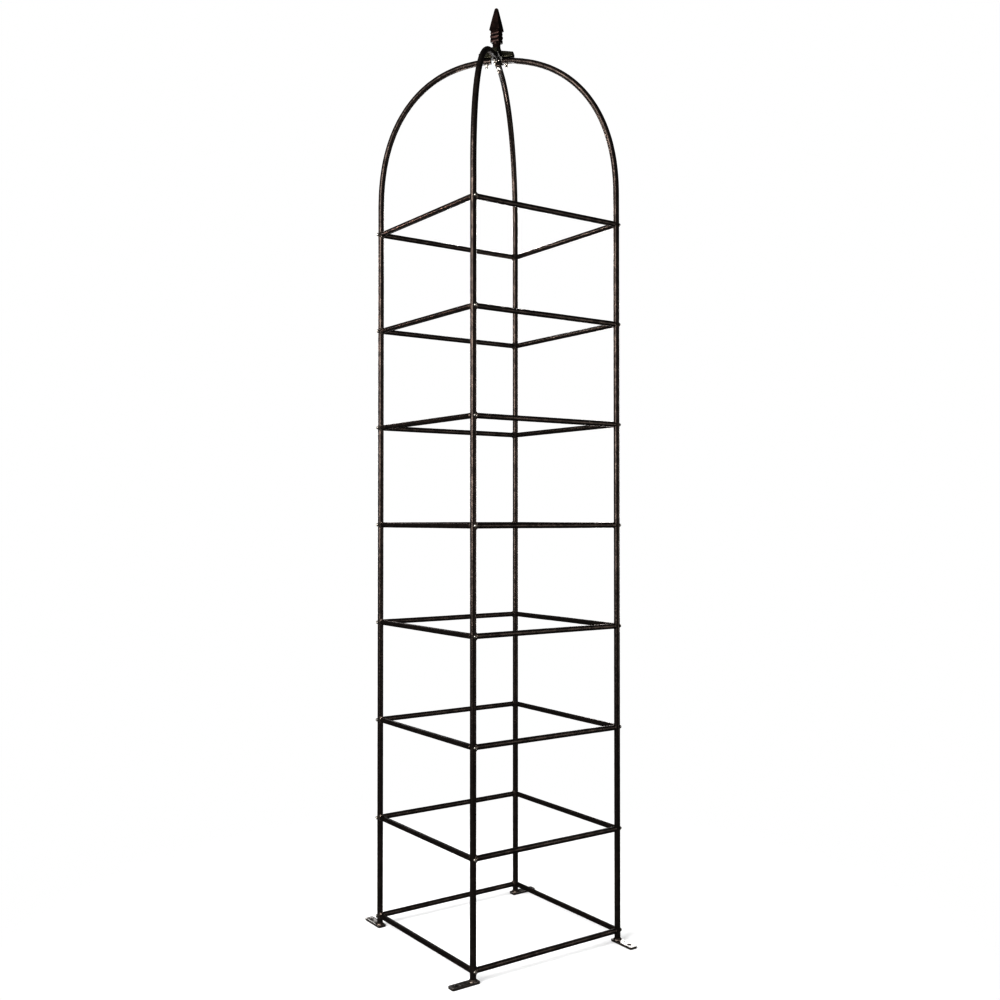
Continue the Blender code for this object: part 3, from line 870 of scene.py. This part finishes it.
def neck_rings():
    """The casting's round foot: flared at the hub, with a fillet under the collar."""
    base = finial_low.z
    neck = [(NECK_BASE_RADIUS - NECK_EDGE, base), (NECK_BASE_RADIUS, base + NECK_EDGE_HEIGHT)]
    for share in NECK_FLARE_SHARES:
        curve = (1 - share) ** NECK_FLARE_POWER
        neck.append((NECK_RADIUS + (NECK_BASE_RADIUS - NECK_RADIUS) * curve,
                     base + NECK_FLARE_HEIGHT * share))
    neck.append((NECK_RADIUS, (base + NECK_FLARE_HEIGHT + COLLAR_BASE_HEIGHT) / 2))
    neck += [(NECK_RADIUS + wider, COLLAR_BASE_HEIGHT - below) for wider, below in NECK_FILLET]
    return [ring(reach, height, sides=FINIAL_SIDES) for reach, height in neck]


def finial_rings():
    """The casting's sections from its foot up: round neck, square collar, square spear."""
    spear_base = finial_high.z - SPEAR_HEIGHT
    tall = spear_base - COLLAR_BASE_HEIGHT
    collar = [ring(reach, COLLAR_BASE_HEIGHT + tall * share, soft_square_outline, FINIAL_SIDES)
              for reach, share in COLLAR_PROFILE]
    return neck_rings() + collar + spear_rings(spear_base)


def spear_rings(base):
    """The four-sided spear head, slightly full in the middle, with a blunt tip."""
    spear = [(SPEAR_REACH - SPEAR_EDGE, base), (SPEAR_REACH, base + SPEAR_EDGE)]
    for step in range(1, SPEAR_STEPS + 1):
        share = step / SPEAR_STEPS
        straight = SPEAR_REACH + (SPEAR_TIP_REACH - SPEAR_REACH) * share
        full = SPEAR_FULLNESS * math.sin(math.pi * share)
        height = base + SPEAR_SIDE_START + (SPEAR_HEIGHT - SPEAR_SIDE_MARGIN) * share
        spear.append((straight + full, height))
    spear += [(reach, finial_high.z - below) for reach, below in SPEAR_TIP]
    return [ring(reach, height, soft_square_outline, FINIAL_SIDES) for reach, height in spear]


# Building each sub-part

def heat_near(points, spots):
    """How much each point was heated by welding: 1 at a spot, fading with distance."""
    heat = np.zeros(len(points))
    for spot in spots:
        distance = np.linalg.norm(np.asarray(points) - np.array(spot), axis=1)
        heat = np.maximum(heat, np.exp(-(distance / HEAT_LENGTH) ** 2))
    return heat


def leg_spots(heights):
    """Where the front left leg is welded: at each rung on its right and at its foot."""
    spots = [(-HALF_SPACING + LEG_RADIUS, -HALF_SPACING, height) for height in heights]
    return [*spots, (-HALF_SPACING, -HALF_SPACING, FOOT_TOP)]


def build_leg(quarter, corner, heights):
    points, faces = skin(leg_rings(seed=quarter + 1))
    heat = heat_near(points, leg_spots(heights))
    mesh = shells_mesh(f"leg_{corner}_bar", [(quarter_turn(points, quarter), faces)])
    add_piece(f"leg_{corner}_bar", mesh, finishes["leg_iron"],
              [f"leg_{corner}"], heat)


def build_rungs(quarter, side, heights):
    for level, height in enumerate(heights, start=1):
        points, faces = rung_shell(height, seed=quarter * LEVELS + level)
        heat = heat_near(points, [(RUNG_START, -HALF_SPACING, height)])
        mesh = shells_mesh(f"rung_{side}_{level}_bar", [(quarter_turn(points, quarter), faces)])
        add_piece(f"rung_{side}_{level}_bar", mesh, finishes["rung_iron"],
                  [f"rung_{side}_{level}"], heat)


def build_screws(quarter, side, heights):
    """The eight screws at the far ends of one side's rungs."""
    shells = []
    for height in heights:
        seat = Vector((rung_high.x - SCREW_HEAD_HEIGHT, -HALF_SPACING, height))
        turn = Matrix.Translation(seat) @ Matrix.Rotation(math.pi / 2, 4, "Y")
        spin = Matrix.Rotation(height * SCREW_SPIN, 4, "Z")
        points, faces = moved(screw_shell(), turn @ spin)
        shells.append((quarter_turn(points, quarter), faces))
    add_piece(f"rung_screws_{side}", shells_mesh(f"rung_screws_{side}", shells),
              finishes["fastener_steel"],
              [f"rung_{side}_{level}" for level in range(1, LEVELS + 1)])


def build_welds(quarter, corner, heights):
    """All the weld beads of one leg: one at its foot and one at each rung on its right."""
    first = quarter * WELD_SEED_STEP
    shells = [foot_weld(seed=first + FOOT_WELD_SEED)]
    shells += [rung_weld(height, seed=first + level)
               for level, height in enumerate(heights)]
    shells = [(quarter_turn(points, quarter), faces) for points, faces in shells]
    mesh = shells_mesh(f"welds_{corner}", shells)
    add_piece(f"welds_{corner}", mesh, finishes["weld_iron"],
              heat=np.full(len(mesh.vertices), WELD_HEAT))


def build_foot(quarter, corner):
    mesh = plate_mesh(f"foot_{corner}_plate", foot_outlines(), foot_low.z, foot_high.z, FOOT_EDGE)
    heat = heat_near([vertex.co for vertex in mesh.vertices],
                     [(-HALF_SPACING, -HALF_SPACING, FOOT_TOP)])
    mesh.transform(Matrix.Rotation(quarter * math.pi / 2, 4, "Z"))
    add_piece(f"foot_{corner}_plate", mesh, finishes["foot_iron"],
              [f"foot_{corner}"], heat)


def build_hub():
    turns = [Matrix.Rotation(math.radians(angle), 4, "Z") for angle in HUB_BAR_TURNS]
    casting = cast_mesh("hub_cross_casting", [moved(crossbar_shell(), turn) for turn in turns])
    add_piece("hub_cross_casting", casting, finishes["hub_iron"], ["hub_cross"])


def build_hub_fasteners():
    """A stud and a nut under each arm of the hub."""
    nut = nut_shell(NUT_ACROSS_FLATS, nut_low.z, nut_high.z, STUD_RADIUS + GAP)
    offset = -STUD_REACH / math.sqrt(2)
    for quarter, corner in enumerate(CORNERS):
        spin = Matrix.Rotation(math.radians(NUT_TURN + NUT_TURN_STEP * quarter), 4, "Z")
        turned = (Matrix.Rotation(quarter * math.pi / 2, 4, "Z")
                  @ Matrix.Translation((offset, offset, 0.0)) @ spin)
        for node, shell in ((f"hub_stud_{corner}", stud_shell()), (f"hub_nut_{corner}", nut)):
            mesh = shells_mesh(f"{node}_threaded", [moved(shell, turned)])
            add_piece(f"{node}_threaded", mesh, finishes["fastener_steel"],
                      [node])


def build_finial():
    turn = Matrix.Rotation(FINIAL_TURN, 4, "Z")
    casting = shells_mesh("finial_spear_casting", [moved(skin(finial_rings()), turn)])
    add_piece("finial_spear_casting", casting, finishes["finial_iron"],
              ["finial_spear"])
    length = finial_bolt_high.z - finial_bolt_low.z - FINIAL_BOLT_HEAD_HEIGHT
    bolt = bolt_shell(FINIAL_BOLT_ACROSS_FLATS, FINIAL_BOLT_HEAD_HEIGHT, FINIAL_BOLT_RADIUS,
                      length, length * FINIAL_BOLT_THREAD_SHARE)
    seat = Vector((0.0, 0.0, finial_bolt_low.z + FINIAL_BOLT_HEAD_HEIGHT))
    flipped = Matrix.Translation(seat) @ Matrix.Rotation(math.pi, 4, "X")
    add_piece("finial_bolt_hex", shells_mesh("finial_bolt_hex", [moved(bolt, flipped)]),
              finishes["fastener_steel"], ["finial_bolt"])


# Stage, lights and camera

def build_floor():
    """A pale round floor that fades into the white of the studio."""
    mesh = bpy.data.meshes.new("floor")
    shape = bmesh.new()
    bmesh.ops.create_circle(shape, cap_ends=True, segments=FLOOR_SIDES, radius=FLOOR_RADIUS)
    shape.to_mesh(mesh)
    shape.free()
    floor = bpy.data.objects.new("floor", mesh)
    floor.location.z = cad_low.z - FLOOR_DROP
    bpy.context.scene.collection.objects.link(floor)
    mesh.materials.append(floor_finish())


def floor_finish():
    """Matt and pale, with a glow that only the camera sees, fading out towards the rim."""
    finish = bpy.data.materials.new("floor")
    finish.use_nodes = True
    tree = finish.node_tree
    shader = tree.nodes["Principled BSDF"]
    shader.inputs["Base Color"].default_value = FLOOR_COLOUR
    shader.inputs["Roughness"].default_value = 0.9
    shader.inputs["Specular IOR Level"].default_value = 0.1
    shader.inputs["Emission Color"].default_value = WHITE
    seen = add_node(tree, "ShaderNodeLightPath").outputs["Is Camera Ray"]
    glow = combine(tree, "MULTIPLY", seen, FLOOR_GLOW)
    tree.links.new(glow, shader.inputs["Emission Strength"])
    place = add_node(tree, "ShaderNodeTexCoord").outputs["Object"]
    reach = add_node(tree, "ShaderNodeVectorMath", operation="LENGTH")
    tree.links.new(place, reach.inputs[0])
    solid = value_range(tree, reach.outputs["Value"], FLOOR_FADE_START, FLOOR_RADIUS, 1.0, 0.0)
    tree.links.new(solid, shader.inputs["Alpha"])
    return finish


def build_world():
    """White behind the object, and a dimmer light from all round on it."""
    world = bpy.data.worlds.new("studio")
    world.use_nodes = True
    tree = world.node_tree
    background = tree.nodes["Background"]
    background.inputs["Color"].default_value = WHITE
    seen = add_node(tree, "ShaderNodeLightPath").outputs["Is Camera Ray"]
    strength = value_range(tree, seen, 0.0, 1.0, AMBIENT_LIGHT, 1.0)
    tree.links.new(strength, background.inputs["Strength"])
    bpy.context.scene.world = world


def add_softbox(name, turn, distance, height, aim_height, size, power, spread=180):
    """A softbox aimed at a height on the obelisk's axis, turned left of the camera.

    The turn and the spread are in degrees, and the power is in watts.
    """
    bearing = CAMERA_BEARING + math.radians(turn)
    place = Vector((-distance * math.sin(bearing), -distance * math.cos(bearing), height))
    lamp = bpy.data.lights.new(name, "AREA")
    lamp.shape = "RECTANGLE"
    lamp.size, lamp.size_y = size
    lamp.energy = power
    lamp.spread = math.radians(spread)
    holder = bpy.data.objects.new(name, lamp)
    holder.location = place
    aim = Vector((0.0, 0.0, aim_height)) - place
    holder.rotation_euler = aim.to_track_quat("-Z", "Y").to_euler()
    holder.visible_camera = False
    bpy.context.scene.collection.objects.link(holder)


def build_lights():
    """A large key on the left, weak fills at both sides, two low ones behind for the edges and
    the feet, two small ones under the crown, and a wide one overhead."""
    add_softbox("key_softbox", turn=40, distance=2.4, height=2.0, aim_height=1.75,
                size=(1.7, 2.2), power=460.0)
    add_softbox("left_softbox", turn=107, distance=2.6, height=2.15, aim_height=2.15,
                size=(0.5, 0.3), power=6.0, spread=35)
    add_softbox("right_softbox", turn=-70, distance=2.6, height=1.2, aim_height=1.2,
                size=(1.0, 2.0), power=60.0)
    add_softbox("rim_softbox", turn=-160, distance=2.6, height=1.5, aim_height=1.5,
                size=(0.8, 1.8), power=90.0)
    add_softbox("back_softbox", turn=155, distance=2.6, height=1.6, aim_height=1.5,
                size=(0.8, 1.8), power=60.0)
    add_softbox("hub_softbox", turn=180, distance=0.65, height=2.15, aim_height=2.47,
                size=(0.35, 0.25), power=16.0)
    add_softbox("dome_softbox", turn=190, distance=0.35, height=1.85, aim_height=3.0,
                size=(0.16, 0.50), power=1.4, spread=36)
    add_softbox("top_softbox", turn=30, distance=0.6, height=4.3, aim_height=0.0,
                size=(2.2, 2.2), power=20.0)


def build_camera():
    camera = bpy.data.objects.new("camera", bpy.data.cameras.new("camera"))
    camera.data.lens = CAMERA_LENS
    camera.location = (-CAMERA_DISTANCE * math.sin(CAMERA_BEARING),
                       -CAMERA_DISTANCE * math.cos(CAMERA_BEARING), CAMERA_HEIGHT)
    level = math.cos(CAMERA_PITCH)
    forward = Vector((math.sin(CAMERA_HEADING) * level, math.cos(CAMERA_HEADING) * level,
                      math.sin(CAMERA_PITCH)))
    camera.rotation_euler = forward.to_track_quat("-Z", "Y").to_euler()
    bpy.context.scene.collection.objects.link(camera)
    bpy.context.scene.camera = camera


bpy.context.scene.view_settings.view_transform = "Standard"
bpy.context.scene.view_settings.gamma = VIEW_GAMMA
finishes = make_finishes()
for quarter, (corner, side) in enumerate(zip(CORNERS, SIDES)):
    heights = rung_heights(side)
    build_leg(quarter, corner, heights)
    build_foot(quarter, corner)
    build_welds(quarter, corner, heights)
    build_rungs(quarter, side, heights)
    build_screws(quarter, side, heights)
build_hub()
build_hub_fasteners()
build_finial()
build_floor()
build_world()
build_lights()
build_camera()
